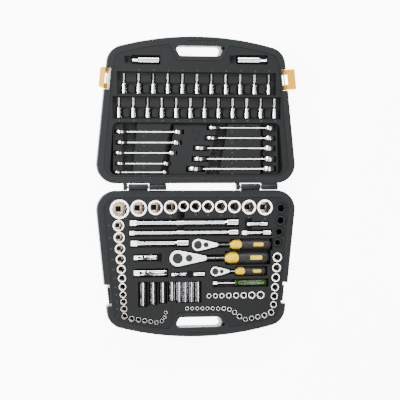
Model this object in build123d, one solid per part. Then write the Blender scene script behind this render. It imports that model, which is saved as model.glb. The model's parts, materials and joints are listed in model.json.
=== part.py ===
"""A socket wrench set in its moulded case, lying open flat on a bench.

The origin is on the bench, below the middle of the hinge line. +X runs to the right
along the hinge, +Y towards the open lid's handle, +Z up. The base lies at -Y.
"""
from build123d import *
from math import atan2, cos, degrees, hypot, radians, sin, tan
import os

# ---------------------------------------------------------------- driving dimensions, mm
HALF_HEIGHT = 50.0        # bench to hinge axis, half of the closed case's thickness
RIM_TOP = 49.7            # the two rims stay 0.6 apart when the case is closed
HINGE_SIDE_Y = 8.0        # from the hinge axis to the nearest edge of each half
HINGE_SIDE_HALF = 234.8   # half width on the hinge side, before its corners are rounded
HANDLE_SIDE_HALF = 204.2  # half width where the sides meet the bowed handle edge
SIDE_END_Y = 311.8
HANDLE_EDGE_Y = 342.7     # the crown of the bowed handle edge
HINGE_CORNER_R = 44.0
HANDLE_CORNER_R = 41.0
WALL = 2.6                # moulded wall
TRAY_INSET = 16.4         # the tray's edge inside the case's outline
SEAM = 0.5                # the open line round each tray
TRAY_TOP = 48.8
TRAY_SKIN = 2.0
SIDE_TILT = degrees(atan2(HINGE_SIDE_HALF - HANDLE_SIDE_HALF, SIDE_END_Y - HINGE_SIDE_Y))

HANDLE_X = 6.0            # middle of the finger gap
HANDLE_INNER_Y = 298.0
HANDLE_OUTER_Y = 321.0
HANDLE_INNER_HALF = 47.0
HANDLE_OUTER_HALF = 58.0
SURROUND = 10.5           # the smooth border left round the finger gap
PADLOCK = (61.5, 316.5)
PADLOCK_R = 2.8

PIN_R = 2.5
PIN_CLEARANCE = 0.06
DRAFT_IN, DRAFT_UP = 6.5, 32.0   # how far the sides slope inwards, and up to what height
KNUCKLE_R = 7.2
KNUCKLE_GAP = 3.4
HINGES = (-170.0, 90.0)   # left end of each hinge
KNUCKLES = (9.0, 44.0, 38.0)  # lid, base, lid

LATCH_Y = 246.0
LATCH_LENGTH = 47.0
NOTCH_LENGTH = 49.0
NOTCH_DEPTH = 11.5
LATCH_PIVOT_IN = 4.8      # pivot inside the case's side
LATCH_PIVOT_Z = 40.0
LATCH_PIN_R = 1.5
LATCH_OPEN_RIGHT = 80.0
LATCH_OPEN_LEFT = 25.0

TOOL_TOP = 48.2           # what lies in the trays stays below the rim
POCKET_SLACK = 0.8
LIFT = 0.3                # what can be lifted out stands this far off its pocket


# ---------------------------------------------------------------- helpers
def prism(sketch, low, high):
    """The sketch extruded from height low to height high."""
    return Pos(0, 0, low) * extrude(sketch, high - low)


def area(x0, x1, y0, y1, grow=0.0):
    """A rectangle between two corners, grown on every side."""
    return Pos((x0 + x1) / 2, (y0 + y1) / 2) * Rectangle(x1 - x0 + 2 * grow, y1 - y0 + 2 * grow)


def patch(*points):
    """A flat patch with straight sides."""
    return make_face(Polyline(*points, close=True))


def rod(x0, x1, y, z, radius):
    """A round bar along X."""
    return Pos(x0, y, z) * Rot(0, 90, 0) * Cylinder(
        radius, x1 - x0, align=(Align.CENTER, Align.CENTER, Align.MIN)
    )


def cone(x0, x1, y, z, radius0, radius1):
    """A tapered bar along X."""
    return Pos(x0, y, z) * Rot(0, 90, 0) * Cone(
        radius0, radius1, x1 - x0, align=(Align.CENTER, Align.CENTER, Align.MIN)
    )


def block(x0, x1, y0, y1, z0, z1):
    """A box between two corners."""
    return Pos((x0 + x1) / 2, (y0 + y1) / 2, (z0 + z1) / 2) * Box(x1 - x0, y1 - y0, z1 - z0)


def upright(x, y, z0, z1, radius):
    """A round post."""
    return Pos(x, y, z0) * Cylinder(
        radius, z1 - z0, align=(Align.CENTER, Align.CENTER, Align.MIN)
    )


def mirrored(shape):
    """The same shape on the other side of the hinge line."""
    return mirror(shape, about=Plane.XZ)


def along(path, diameters, gap):
    """Centres for round pieces set one after another along a path, gap apart."""
    line = Polyline(*path)
    steps = [0.0]
    for near, far in zip(diameters, diameters[1:]):
        steps.append(steps[-1] + (near + far) / 2 + gap)
    places = []
    for step in steps:
        point = line @ min(step / line.length, 1.0)
        places.append((point.X, point.Y))
    return places


def write(name, *solids):
    """Writes one node, with each of its pieces as a solid of its own."""
    shape = solids[0] if len(solids) == 1 else Compound(children=list(solids))
    export_step(shape, f"parts/{name}.step")


# ---------------------------------------------------------------- the case
def outline(inset=0.0):
    """The outline of one half, seen from above."""
    left_low, left_high = (-HINGE_SIDE_HALF, HINGE_SIDE_Y), (-HANDLE_SIDE_HALF, SIDE_END_Y)
    right_low, right_high = (HINGE_SIDE_HALF, HINGE_SIDE_Y), (HANDLE_SIDE_HALF, SIDE_END_Y)
    edges = Polyline(left_high, left_low, right_low, right_high)
    edges += ThreePointArc(right_high, (0, HANDLE_EDGE_Y), left_high)
    face = make_face(edges)
    corners = face.vertices().sort_by(Axis.Y)
    face = fillet(corners[:2], HINGE_CORNER_R)
    corners = [v for v in face.vertices() if v.Y > SIDE_END_Y - 1]
    face = fillet(corners, HANDLE_CORNER_R)
    return offset(face, -inset) if inset else face


def finger_gap(grow=0.0):
    """The handle's finger gap, a little wider on its outer side."""
    low, high = HANDLE_INNER_Y - grow, HANDLE_OUTER_Y + grow
    inner, outer = HANDLE_INNER_HALF + grow, HANDLE_OUTER_HALF + grow
    face = patch(
        (HANDLE_X - inner, low),
        (HANDLE_X + inner, low),
        (HANDLE_X + outer, high),
        (HANDLE_X - outer, high),
    )
    return fillet(face.vertices(), 8.0 + grow)


def handle_zone():
    """What the tray leaves free round the finger gap, out to the handle edge."""
    low = HANDLE_INNER_Y - SURROUND
    return patch(
        (HANDLE_X - HANDLE_INNER_HALF - 4, low),
        (HANDLE_X + HANDLE_INNER_HALF + 4, low),
        (HANDLE_X + HANDLE_OUTER_HALF + 24, HANDLE_EDGE_Y),
        (HANDLE_X - HANDLE_OUTER_HALF - 24, HANDLE_EDGE_Y),
    )


def tray_outline(grow=0.0):
    """The edge of the moulded tray."""
    return outline(TRAY_INSET - grow) - offset(handle_zone(), -grow if grow else 0.001)


def side_place(side, inward):
    """Where the latch sits on the right (1) or left (-1) side, turned to that side's slope."""
    x = HINGE_SIDE_HALF - (LATCH_Y - HINGE_SIDE_Y) * tan(radians(SIDE_TILT))
    x -= inward / cos(radians(SIDE_TILT))
    return Pos(side * x, LATCH_Y) * Rot(0, 0, side * SIDE_TILT)


def notches(grow=0.0):
    """The two side notches that the latches swing in."""
    cut = Rectangle(2 * (NOTCH_DEPTH + grow), NOTCH_LENGTH + 2 * grow)
    return [side_place(side, 0) * cut for side in (-1, 1)]


def knuckle_spans():
    """Each knuckle's two ends along the hinge line, and whether it belongs to the lid."""
    spans = []
    for start in HINGES:
        x = start
        for length, on_lid in zip(KNUCKLES, (True, False, True)):
            spans.append((x, x + length, on_lid))
            x += length + KNUCKLE_GAP
    return spans


def drafted(shape, low, high):
    """A solid whose sides slope inwards towards the underside."""
    body = prism(shape, low, high)
    underside = body.faces().sort_by(Axis.Z)[0]
    return chamfer(underside.edges(), DRAFT_IN, DRAFT_UP, reference=underside)


def half_shell(is_lid):
    """One half of the case: a hollow shell with a flat rim, drawn on the lid's side."""
    shell = drafted(outline(), 0, RIM_TOP)
    shell = fillet(shell.edges().group_by(Axis.Z)[-1], 2.5)
    hollow = drafted(outline(WALL), WALL, RIM_TOP - 3.0)
    hollow -= [prism(notch, 0, RIM_TOP) for notch in notches(WALL)]
    hollow -= prism(finger_gap(WALL), 0, RIM_TOP)
    opening = prism(tray_outline(SEAM), RIM_TOP - 4.0, RIM_TOP + 1)
    shell -= [hollow, opening, prism(finger_gap(), -1, RIM_TOP + 1)]
    shell -= [prism(notch, -1, RIM_TOP + 1) for notch in notches()]
    # a shallow rib and groove line along the hinge side of the rim
    shell -= block(-150, 150, HINGE_SIDE_Y + 7.0, HINGE_SIDE_Y + 7.8, RIM_TOP - 0.8, RIM_TOP + 1)
    # the embossed bar in the handle
    shell += block(HANDLE_X - 32, HANDLE_X + 46, 331.0, 335.0, RIM_TOP - 3, RIM_TOP - 0.05)
    shell -= block(HANDLE_X - 26, HANDLE_X + 40, 332.4, 333.6, RIM_TOP - 1, RIM_TOP + 1)
    # the padlock's lug at the right end of the finger gap
    x, y = PADLOCK
    lug = prism(Pos(x, y) * Circle(6.0) + area(x, x + 6, y - 6, y + 6), RIM_TOP - 9, RIM_TOP)
    shell += lug
    shell -= upright(x, y, RIM_TOP - 10, RIM_TOP + 1, PADLOCK_R)
    # knuckles on the hinge line
    for start, end, on_lid in knuckle_spans():
        if on_lid == is_lid:
            knuckle = rod(start, end, 0, HALF_HEIGHT, KNUCKLE_R)
            knuckle += block(start, end, 0, HINGE_SIDE_Y + 3, HALF_HEIGHT - KNUCKLE_R, RIM_TOP)
            bore = PIN_R + (PIN_CLEARANCE if is_lid else 0.0)
            shell += knuckle
            shell -= rod(start - 1, end + 1, 0, HALF_HEIGHT, bore)
    # holes for the latch pins in the lid, catch lugs in the base
    for side in (-1, 1):
        if is_lid:
            pin = Pos(0, 0, LATCH_PIVOT_Z) * Rot(90, 0, 0) * Cylinder(LATCH_PIN_R, NOTCH_LENGTH + 8)
            shell -= side_place(side, LATCH_PIVOT_IN) * pin
        else:
            lug = Pos(0, 0, 41.3) * Box(5.4, NOTCH_LENGTH - 12, 5.4)
            shell += side_place(side, NOTCH_DEPTH - 2.3) * lug
    # raised ribs under the case, clear of the rounded edge
    for x in (-150, -75, 75, 150):
        shell -= block(x - 1.5, x + 1.5, 60, 280, -1, 0.8)
    return shell


def latch(side, opened):
    """A spring-over latch, built closed and turned open by the angle given."""
    body = block(1.5, 5.0, -LATCH_LENGTH / 2, LATCH_LENGTH / 2, -4.5, 26.0)
    body += block(-3.5, 4.0, -LATCH_LENGTH / 2, LATCH_LENGTH / 2, 22.4, 26.0)
    body += block(4.0, 9.0, -LATCH_LENGTH / 2 + 2, LATCH_LENGTH / 2 - 2, 23.6, 26.0)
    body += block(0, 3.0, -LATCH_LENGTH / 2, LATCH_LENGTH / 2, -3.2, 3.2)
    body += Rot(90, 0, 0) * Cylinder(3.2, LATCH_LENGTH)
    body += block(4.0, 6.2, -3.5, 3.5, 9.0, 20.0)
    body -= block(-8, 12, -11.5, 11.5, -8, 8.0)
    body -= Rot(90, 0, 0) * Cylinder(LATCH_PIN_R + PIN_CLEARANCE, LATCH_LENGTH + 4)
    body = chamfer(body.edges().filter_by(Axis.Z).group_by(Axis.Y)[0], 1.0)
    body = chamfer(body.edges().filter_by(Axis.Z).group_by(Axis.Y)[-1], 1.0)
    body = Rot(0, opened, 0) * body
    if side < 0:
        body = mirror(body, about=Plane.YZ)
    return side_place(side, LATCH_PIVOT_IN) * Pos(0, 0, LATCH_PIVOT_Z) * body


def latch_pin(side):
    """The pin that a latch turns on."""
    pin = Rot(90, 0, 0) * Cylinder(LATCH_PIN_R, NOTCH_LENGTH + 5)
    return side_place(side, LATCH_PIVOT_IN) * Pos(0, 0, LATCH_PIVOT_Z) * pin


# ---------------------------------------------------------------- sockets
HALF_INCH = (32, 27, 24, 22, 17, 18, 19, 20, 21, 24, 26)   # across flats, left to right
HALF_INCH_Y = -36.9         # the widest socket stands furthest from the hinge line
HALF_INCH_TALL = 38.0
BLACK = (16, 15, 14, 12)
LEFT_COLUMN = (27, 26, 24, 23, 21, 19.5, 18, 16, 15.5, 16.5, 15)  # outside diameters
LEFT_PATH = ((-180.9, -87.2), (-167.3, -293.2))
COLUMN_GAP = 0.55
BEND_LEFT = (14.5, 13.5, 12.5, 12, 11.5, 11, 9.5, 9.5)
BEND_LEFT_PATH = ((-151.0, -299.0), (-90.0, -309.0), (-77.0, -304.0), (-72.0, -284.0))
RIGHT_COLUMN = (22.5, 21.5, 20.5, 19.5, 18, 17, 16)
RIGHT_PATH = ((188.5, -163.3), (179.7, -272.6), (172.0, -296.0))
BEND_RIGHT = (14.5, 13.5, 13, 13, 14, 13, 12, 11.5, 11, 10.5, 10, 10, 10, 10, 10)
BEND_RIGHT_PATH = ((158, -297), (114, -306), (96, -297), (84, -285), (70, -279.5), (-40, -277.5))
MIDDLE_ROW = (12, 12.5, 13, 14, 15, 15.5, 17.5, 19)
MIDDLE_PATH = ((27.8, -250.0), (160.0, -250.0))
THREE_EIGHTHS_TALL = 28.0
QUARTER_TALL = 24.0
SOCKET_TOP = 48.0


def half_inch_places():
    """Centres and outside diameters of the half-inch row, their front sides in line."""
    row = [1.333 * size + 2.5 for size in HALF_INCH]
    places = []
    x = -178.0
    for n, wide in enumerate(row):
        if n:
            x += (row[n - 1] + wide) / 2 + 1.75
        places.append(((x, HALF_INCH_Y - wide * 0.29), wide))
    return places


def socket(x, y, wide, tall, size, drive, points, top=SOCKET_TOP):
    """An upright socket: nut opening on top, square drive hole below, a knurl-less waist."""
    floor = top - tall
    body = upright(0, 0, floor, top, wide / 2)
    rims = body.edges().filter_by(GeomType.CIRCLE)
    body = chamfer(rims, min(0.8, (wide - size) / 5))
    waist = upright(0, 0, floor + tall * 0.38, floor + tall * 0.38 + 2.2, wide / 2 + 1)
    waist -= upright(0, 0, floor, top, wide / 2 - 0.5)
    body -= waist
    nut = RegularPolygon(size / 2, 6, major_radius=False)
    if points == 12:
        nut += Rot(0, 0, 30) * RegularPolygon(size / 2, 6, major_radius=False)
    depth = min(tall * 0.45, size * 0.8 + 4)
    body -= prism(nut, top - depth, top + 1)
    body -= upright(0, 0, floor + drive * 0.9, top - depth + 0.01, min(size * 0.44, wide / 2 - 1.8))
    body -= block(-drive / 2, drive / 2, -drive / 2, drive / 2, floor - 1, top - depth)
    return Pos(x, y) * body


def half_inch_sockets():
    """Eleven half-inch drive sockets, the four widest twelve-pointed."""
    pieces = []
    for n, ((x, y), wide) in enumerate(half_inch_places()):
        points = 12 if n < 4 else 6
        pieces.append(socket(x, y, wide, HALF_INCH_TALL, HALF_INCH[n], 12.8, points))
    return pieces


def column(path, widths, gap, tall, drive, points=6):
    """A column of sockets along a path."""
    pieces = []
    for (x, y), wide in zip(along(path, widths, gap), widths):
        size = (wide - 2.2) / 1.28
        pieces.append(socket(x, y, wide, tall, size, min(drive, size * 0.72), points))
    return pieces


def black_places():
    """Centres of the four black sockets on the right."""
    widths = [1.25 * size + 5.0 for size in BLACK]
    path = ((197.0, -50.0), (196.0, -80.0), (188.0, -136.0))
    return list(zip(along(path, widths, 3.6), widths))


def deep_places():
    """Each deep socket's middle line, diameter and length, from left to right."""
    widths = (19.8, 18.4, 17.6, 17.0, 12.6, 12.6, 13.0, 13.0)
    lengths = (54.0, 50.6, 47.2, 42.6, 46.7, 46.7, 46.7, 46.7)
    gaps = (0, 4.2, 4.4, 4.0, 1.6, 1.6, 1.8, 2.4)
    rows = []
    x = -134.7
    for wide, length, gap in zip(widths, lengths, gaps):
        x += gap + wide / 2
        rows.append((x, wide, length))
        x += wide / 2
    return rows


DEEP_TOP_Y = -217.0


def deep_socket(x, wide, length):
    """A deep socket lying down, its nut opening towards the hinge."""
    size = wide / 1.45
    body = upright(0, 0, 0, length, wide / 2)
    body = chamfer(body.edges().filter_by(GeomType.CIRCLE), 0.7)
    body -= prism(RegularPolygon(size / 2, 6, major_radius=False), length - 14, length + 1)
    body -= upright(0, 0, 9, length - 13, size * 0.45)
    body -= block(-size * 0.33, size * 0.33, -size * 0.33, size * 0.33, -1, 10)
    ring = upright(0, 0, 12, 13.2, wide / 2 + 1) - upright(0, 0, 11, 14, wide / 2 - 0.35)
    body -= ring
    axis_z = TOOL_TOP - 1.0 - wide / 2
    return Pos(x, DEEP_TOP_Y - length, axis_z) * Rot(-90, 0, 0) * body


# ---------------------------------------------------------------- bars and joints
# name, left end, right end, Y, shaft radius, socket end radius, socket end length, drive
BARS = (
    ("bar_half_inch_long", -153.7, 95.9, -81.8, 6.0, 9.4, 25.0, 12.7),
    ("bar_three_eighths_long", -155.0, 95.9, -104.4, 5.0, 7.7, 21.0, 9.5),
    ("bar_half_inch_short", -152.0, -20.5, -128.0, 5.8, 8.8, 25.0, 12.7),
    ("bar_quarter_short", 118.0, 165.0, -85.8, 4.0, 5.6, 13.0, 6.3),
    ("bar_three_eighths_short", 106.0, 173.5, -106.0, 4.5, 7.0, 18.0, 9.5),
)


def extension_bar(left, right, y, radius, socket_r, socket_length, drive):
    """An extension bar with its drive square on the left and its socket end on the right."""
    z = TOOL_TOP - socket_r
    square = drive * 1.05
    half = drive * 0.46
    bar = rod(left + square, right, y, z, radius)
    bar += block(left, left + square + 1, y - half, y + half, z - half, z + half)
    bar += rod(left + square, left + square + 7, y, z, radius + 0.8)
    bar += cone(right - socket_length - 6, right - socket_length, y, z, radius, socket_r)
    bar += rod(right - socket_length, right, y, z, socket_r)
    catch = Cone(1.6, 0.9, 0.9, align=(Align.CENTER, Align.CENTER, Align.MIN))
    bar += Pos(left + square / 2, y, z + half - 0.2) * catch
    bar -= block(right - drive * 1.2, right + 1, y - half, y + half, z - half, z + half)
    groove = rod(right - socket_length + 3, right - socket_length + 4.4, y, z, socket_r + 1)
    bar -= groove - rod(right - socket_length, right, y, z, socket_r - 0.5)
    return bar


# name, left end, middle of the cross, right end, Y, yoke radius, drive
JOINTS = (
    ("universal_joint_three_eighths", -145.0, -117.0, -91.0, -160.7, 7.0, 9.5),
    ("universal_joint_half_inch", -145.0, -109.0, -69.0, -195.5, 9.0, 12.7),
    ("universal_joint_quarter", -58.6, -41.5, -23.0, -199.8, 4.6, 6.3),
)


def universal_joint(left, middle, right, y, radius, drive):
    """A drive yoke, a cross and a socket yoke. The cross's pin along Y is the hinge."""
    z = TOOL_TOP - radius
    half = drive * 0.46
    square = drive * 1.0
    arm = radius * 0.42
    pin = radius * 0.26
    # the drive yoke's two arms stand either side of the cross along Y
    yoke = block(left, left + square + 1, y - half, y + half, z - half, z + half)
    yoke += rod(left + square, middle + radius * 0.62, y, z, radius)
    yoke -= block(middle - radius * 1.1, middle + radius * 2, y - radius + arm, y + radius - arm,
                  z - radius - 1, z + radius + 1)
    yoke -= Pos(middle, y, z) * Rot(90, 0, 0) * Cylinder(pin + PIN_CLEARANCE, radius * 3)
    # the cross block, with a pin through each pair of arms
    core = radius - arm - 0.35
    cross = block(middle - core, middle + core, y - core, y + core, z - core, z + core)
    cross += Pos(middle, y, z) * Rot(90, 0, 0) * Cylinder(pin, radius * 1.96)
    cross += upright(middle, y, z - radius * 0.98, z + radius * 0.98, pin)
    # the socket yoke's arms stand above and below the cross, rounded about its pin
    end = rod(middle - radius, right, y, z, radius)
    end -= block(middle - radius * 2, middle + radius * 1.75, y - radius - 1, y + radius + 1,
                 z - core, z + core)
    end -= upright(middle, y, z - radius * 2, z + radius * 2, pin)
    keep = block(middle, middle + radius * 1.3, y - core, y + core,
                 z - radius - 1, z + radius + 1)
    keep += Pos(middle, y, z) * Rot(90, 0, 0) * Cylinder(radius * 0.99, 2 * core)
    keep += block(middle + radius * 1.3, right + 1, y - radius - 1, y + radius + 1,
                  z - radius - 1, z + radius + 1)
    end = end & keep
    end -= block(right - drive * 1.1, right + 1, y - half, y + half, z - half, z + half)
    return yoke, cross, end


def adapter():
    """A short reducing adapter, drive square on the left and square hole on the right."""
    z = TOOL_TOP - 5.5
    body = rod(1.5, 17.7, -199.8, z, 5.5)
    body += block(-7.0, 3.0, -202.7, -196.9, z - 2.9, z + 2.9)
    body -= block(9.0, 19.0, -202.7, -196.9, z - 2.9, z + 2.9)
    return body


# ---------------------------------------------------------------- ratchets
class Ratchet:
    """The sizes of one ratchet, its head on the left and its grip on the right."""

    def __init__(self, name, drive, disc, disc_r, lever_x, lever_r, head_half, neck_x, neck_r,
                 collar, grip_end, grip_r, label):
        self.name = name
        self.drive = drive
        self.x, self.y = disc
        self.disc_r = disc_r
        self.lever_x = lever_x
        self.lever_r = lever_r
        self.head_half = head_half
        self.neck_x = neck_x
        self.neck_r = neck_r
        self.collar = collar
        self.grip_end = grip_end
        self.grip_r = grip_r
        self.label = label
        self.z = TOOL_TOP - grip_r
        self.head_top = self.z + drive * 0.72
        self.head_low = self.z - drive * 0.72


RATCHETS = (
    Ratchet("ratchet_three_eighths", 9.5, (3.1, -133.0), 9.4, 22.0, 5.8, 14.4, 46.0, 5.0,
            (79.0, 106.0), 175.0, 12.4, (132.0, 156.0)),
    Ratchet("ratchet_half_inch", 12.7, (-44.1, -163.4), 11.8, -17.4, 8.0, 19.2, 18.0, 6.6,
            (67.0, 97.0), 170.0, 14.8, (126.0, 153.0)),
    Ratchet("ratchet_quarter", 6.3, (43.6, -194.4), 7.4, 58.6, 4.4, 11.8, 74.0, 4.0,
            (91.0, 113.0), 162.0, 10.0, (130.0, 150.0)),
)


def head_outline(r, grow=0.0):
    """The egg-shaped head, from the round drive end to the neck."""
    big = Pos(r.x, r.y) * Circle(r.head_half + grow)
    small = Pos(r.lever_x, r.y) * Circle(r.head_half * 0.72 + grow)
    neck = Pos(r.neck_x, r.y) * Circle(r.neck_r + grow)
    return make_hull((big + small).edges()) + make_hull((small + neck).edges())


def ratchet_body(r):
    """The chromed head and the shank that runs into the grip."""
    head = prism(head_outline(r), r.head_low, r.head_top)
    head = chamfer(head.edges().group_by(Axis.Z)[-1], 1.0)
    body = head + rod(r.lever_x, r.grip_end - 25, r.y, r.z, r.neck_r)
    body -= upright(r.x, r.y, r.head_low - 1, r.head_top + 20, r.disc_r + 0.3)
    body -= upright(r.lever_x, r.y, r.head_top - 3.0, r.head_top + 20, r.lever_r + 0.4)
    body -= upright(r.lever_x, r.y, r.head_top - 6.0, r.head_top, 1.6 + PIN_CLEARANCE)
    return body


def ratchet_drive(r):
    """The turning part: a cover disc on top, the drive square with its ball below."""
    half = r.drive / 2
    turn = upright(r.x, r.y, r.head_low, r.head_top + 0.8, r.disc_r)
    turn += block(r.x - half, r.x + half, r.y - half, r.y + half,
                  r.head_low - r.drive * 0.95, r.head_low + 1)
    turn += cone(r.x + half - 0.2, r.x + half + 0.7, r.y, r.head_low - r.drive * 0.5, 1.5, 0.8)
    ring = upright(r.x, r.y, r.head_top + 0.2, r.head_top + 2, r.disc_r * 0.86)
    turn -= ring - upright(r.x, r.y, r.head_top, r.head_top + 2, r.disc_r * 0.78)
    turn -= upright(r.x, r.y, r.head_top - 4, r.head_top + 2, r.disc_r * 0.34)
    return turn


def ratchet_button(r):
    """The quick-release button in the middle of the cover disc."""
    return upright(r.x, r.y, r.head_top - 2.2, r.head_top + 1.4, r.disc_r * 0.34 - 0.25)


def ratchet_lever(r):
    """The reversing lever beside the disc: a dial on a stub, with a thumb tab."""
    lever = upright(r.lever_x, r.y, r.head_top - 2.6, r.head_top + 0.6, r.lever_r)
    lever += upright(r.lever_x, r.y, r.head_top - 5.5, r.head_top, 1.6)
    tab = block(r.lever_x - 0.5, r.lever_x + r.lever_r * 0.92, r.y - r.lever_r * 0.32,
                r.y + r.lever_r * 0.32, r.head_top, r.head_top + 2.0)
    return lever + tab


def ratchet_grip(r):
    """The black grip, waisted before its round end."""
    start = r.collar[1] - 6
    swell = r.label[0] + 4
    grip = cone(start, swell, r.y, r.z, r.grip_r * 0.84, r.grip_r)
    grip += cone(swell, r.grip_end, r.y, r.z, r.grip_r, r.grip_r * 0.9)
    end = grip.edges().filter_by(GeomType.CIRCLE).group_by(Axis.X)[-1]
    grip = fillet(end, r.grip_r * 0.55)
    grip -= rod(start - 1, r.grip_end - 25, r.y, r.z, r.neck_r)
    grip -= block(r.label[0] - 0.2, r.label[1] + 0.2, r.y - r.grip_r * 0.36, r.y + r.grip_r * 0.36,
                  r.z + r.grip_r * 0.86, r.z + r.grip_r + 2)
    grip -= collar_form(r)
    return grip


def collar_form(r):
    """The yellow collar before it is bored, with a bowed right edge that laps onto the grip."""
    start, end = r.collar
    radius = r.grip_r * 0.9
    collar = cone(start, start + 8, r.y, r.z, r.neck_r + 2.4, radius)
    collar += rod(start + 8, end, r.y, r.z, radius)
    bow = Pos(start - radius * 0.9, r.y, r.z) * Cylinder(end - start + radius * 0.9, 80)
    return collar & bow


def ratchet_collar(r):
    """The yellow collar, bored for the shank."""
    return collar_form(r) - rod(r.collar[0] - 1, r.collar[1] + 1, r.y, r.z, r.neck_r)


def ratchet_label(r):
    """The plain pad let into the top of the grip."""
    half = r.grip_r * 0.34
    return block(r.label[0], r.label[1], r.y - half, r.y + half,
                 r.z + r.grip_r * 0.86, r.z + r.grip_r + 0.1)


SPINNER = (38.6, 89.0, 165.0, -221.0, 8.4)  # tip, handle start, handle end, Y, handle radius


def spinner_shaft():
    """The spinner's steel shaft with a quarter-inch drive square."""
    tip, start, end, y, radius = SPINNER
    z = TOOL_TOP - radius
    shaft = rod(tip + 8, end - 20, y, z, 3.2)
    shaft += block(tip, tip + 9, y - 3.1, y + 3.1, z - 3.1, z + 3.1)
    return shaft


def spinner_handle():
    """The spinner's clear green handle, fluted, with a narrower neck and a round end."""
    tip, start, end, y, radius = SPINNER
    z = TOOL_TOP - radius
    handle = rod(start, start + 5, y, z, radius)
    handle += rod(start + 5, start + 14, y, z, radius * 0.72)
    handle += cone(start + 14, start + 20, y, z, radius * 0.72, radius)
    handle += rod(start + 20, end, y, z, radius)
    handle = fillet(handle.edges().filter_by(GeomType.CIRCLE).group_by(Axis.X)[-1], 4.5)
    for n in range(8):
        turn = radians(22.5 + 45 * n)
        reach = radius + 1.5
        handle -= rod(start + 22, end - 5, y + reach * cos(turn), z + reach * sin(turn), 2.4)
    handle -= rod(start - 1, end - 20, y, z, 3.2)
    return handle


# ---------------------------------------------------------------- what lies in the lid
BIT_ROWS = (
    # first X, pitch, how many, Y of the body's near end
    (-167.2, 33.6, 11, 212.0),
    (-178.7, 32.85, 12, 157.0),
)
BIT_BODY = (6.1, 24.0)    # radius, length
BIT_LENGTH = 21.0
BIT_Z = TOOL_TOP - 6.6


def bit_body(x, y):
    """A bit socket's body lying along Y, its square hole towards the hinge."""
    radius, length = BIT_BODY
    body = upright(0, 0, 0, 13.5, radius)
    body += upright(0, 0, 13.5, length - 2, radius * 0.86)
    body += Pos(0, 0, length - 2) * Cone(
        radius * 0.86, radius * 0.6, 2, align=(Align.CENTER, Align.CENTER, Align.MIN)
    )
    body = chamfer(body.edges().filter_by(GeomType.CIRCLE).group_by(Axis.Z)[0], 0.6)
    body -= block(-3.1, 3.1, -3.1, 3.1, -1, 9)
    body -= upright(0, 0, 14, length + 1, 2.2)
    return Pos(x, y, BIT_Z) * Rot(-90, 0, 0) * body


def bit(x, y, n):
    """A driver bit: flat, cross, hexagon or six-lobed, wider towards the right."""
    length = BIT_BODY[1]
    wide = 3.4 + 0.16 * n
    shank = upright(0, 0, 14, length + 5, 2.2)
    end = length + BIT_LENGTH
    if n % 4 == 0:
        tip = prism(Rectangle(wide, 1.4) + Rectangle(1.4, wide), length + 4, end)
    elif n % 4 == 1:
        tip = prism(Rectangle(wide + 0.8, 1.6), length + 4, end)
    elif n % 4 == 2:
        tip = prism(RegularPolygon(wide / 2, 6), length + 4, end)
    else:
        lobes = [Rot(0, 0, 60 * k) * Pos(wide * 0.36, 0) * Circle(wide * 0.17) for k in range(6)]
        tip = prism(Circle(wide * 0.38) + lobes, length + 4, end)
    return Pos(x, y, BIT_Z) * Rot(-90, 0, 0) * (shank + tip)


def bit_places(row):
    """Where each bit socket of a row stands."""
    first, pitch, count, y = BIT_ROWS[row]
    return [(first + pitch * n, y) for n in range(count)]


# size, Y, X of the open jaw's end and of the ring's end
LEFT_WRENCHES = (
    (13, 125.2, -187.5, -30.6),
    (12, 100.9, -184.8, -35.6),
    (11, 77.3, -189.2, -46.5),
    (10, 53.0, -185.8, -61.0),
    (8, 33.4, -190.2, -66.0),
)
RIGHT_WRENCHES = (
    (14, 135.3, 25.0, 185.0),
    (15, 111.7, 20.0, 185.0),
    (16, 88.4, -7.0, 185.0),
    (17, 63.8, -10.0, 187.0),
    (19, 40.9, -23.0, 187.0),
)
WRENCH_TOP = 47.6


def wrench(size, y, jaw_x, ring_x):
    """A combination wrench standing on its edge, open jaw left and ring right."""
    ring_r = size * 0.74 + 1.4
    jaw_r = size * 1.02 + 1.0
    shank_half = size * 0.36 + 1.2
    thick = size * 0.15 + 1.3
    axis = WRENCH_TOP - jaw_r
    ring_at = ring_x - ring_r
    jaw_at = jaw_x + jaw_r
    flat = prism(area(jaw_at, ring_at, -shank_half, shank_half), -thick / 2, thick / 2)
    ring = prism(Pos(ring_at, 0) * Circle(ring_r), -size * 0.27 - 1.0, size * 0.27 + 1.0)
    jaw = prism(Pos(jaw_at, 0) * Circle(jaw_r), -size * 0.2 - 0.9, size * 0.2 + 0.9)
    slot = area(-jaw_r * 1.4, size * 0.15, -size / 2, size / 2)
    jaw -= Pos(jaw_at, 0) * Rot(0, 0, 15) * prism(slot, -20, 20)
    body = flat + ring + jaw
    body -= Pos(jaw_at, 0) * Rot(0, 0, 15) * prism(slot, -20, 20)
    hole = RegularPolygon(size / 2, 6, major_radius=False)
    hole += Rot(0, 0, 30) * RegularPolygon(size / 2, 6, major_radius=False)
    body -= prism(Pos(ring_at, 0) * hole, -20, 20)
    return Pos(0, y, axis) * Rot(90, 0, 0) * body


def spark_plug_socket(nut_start, nut_end, body_start, body_end, y, radius):
    """A spark plug socket lying along X, with a hexagon end for a wrench."""
    z = TOOL_TOP - radius - 0.6
    left, right = min(nut_start, body_start), max(nut_end, body_end)
    body = rod(body_start, body_end, y, z, radius)
    body = chamfer(body.edges().filter_by(GeomType.CIRCLE), 0.8)
    hexagon = prism(RegularPolygon(radius * 0.76, 6), 0, nut_end - nut_start)
    body += Pos(nut_start, y, z) * Rot(0, 90, 0) * hexagon
    bore = radius * 0.62
    if nut_start < body_start:
        body -= rod(body_start + 12, right + 1, y, z, bore)
        body -= block(left - 1, left + 11, y - 4.7, y + 4.7, z - 4.7, z + 4.7)
    else:
        body -= rod(left - 1, body_end - 12, y, z, bore)
        body -= block(right - 11, right + 1, y - 4.7, y + 4.7, z - 4.7, z + 4.7)
    return body


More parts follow.
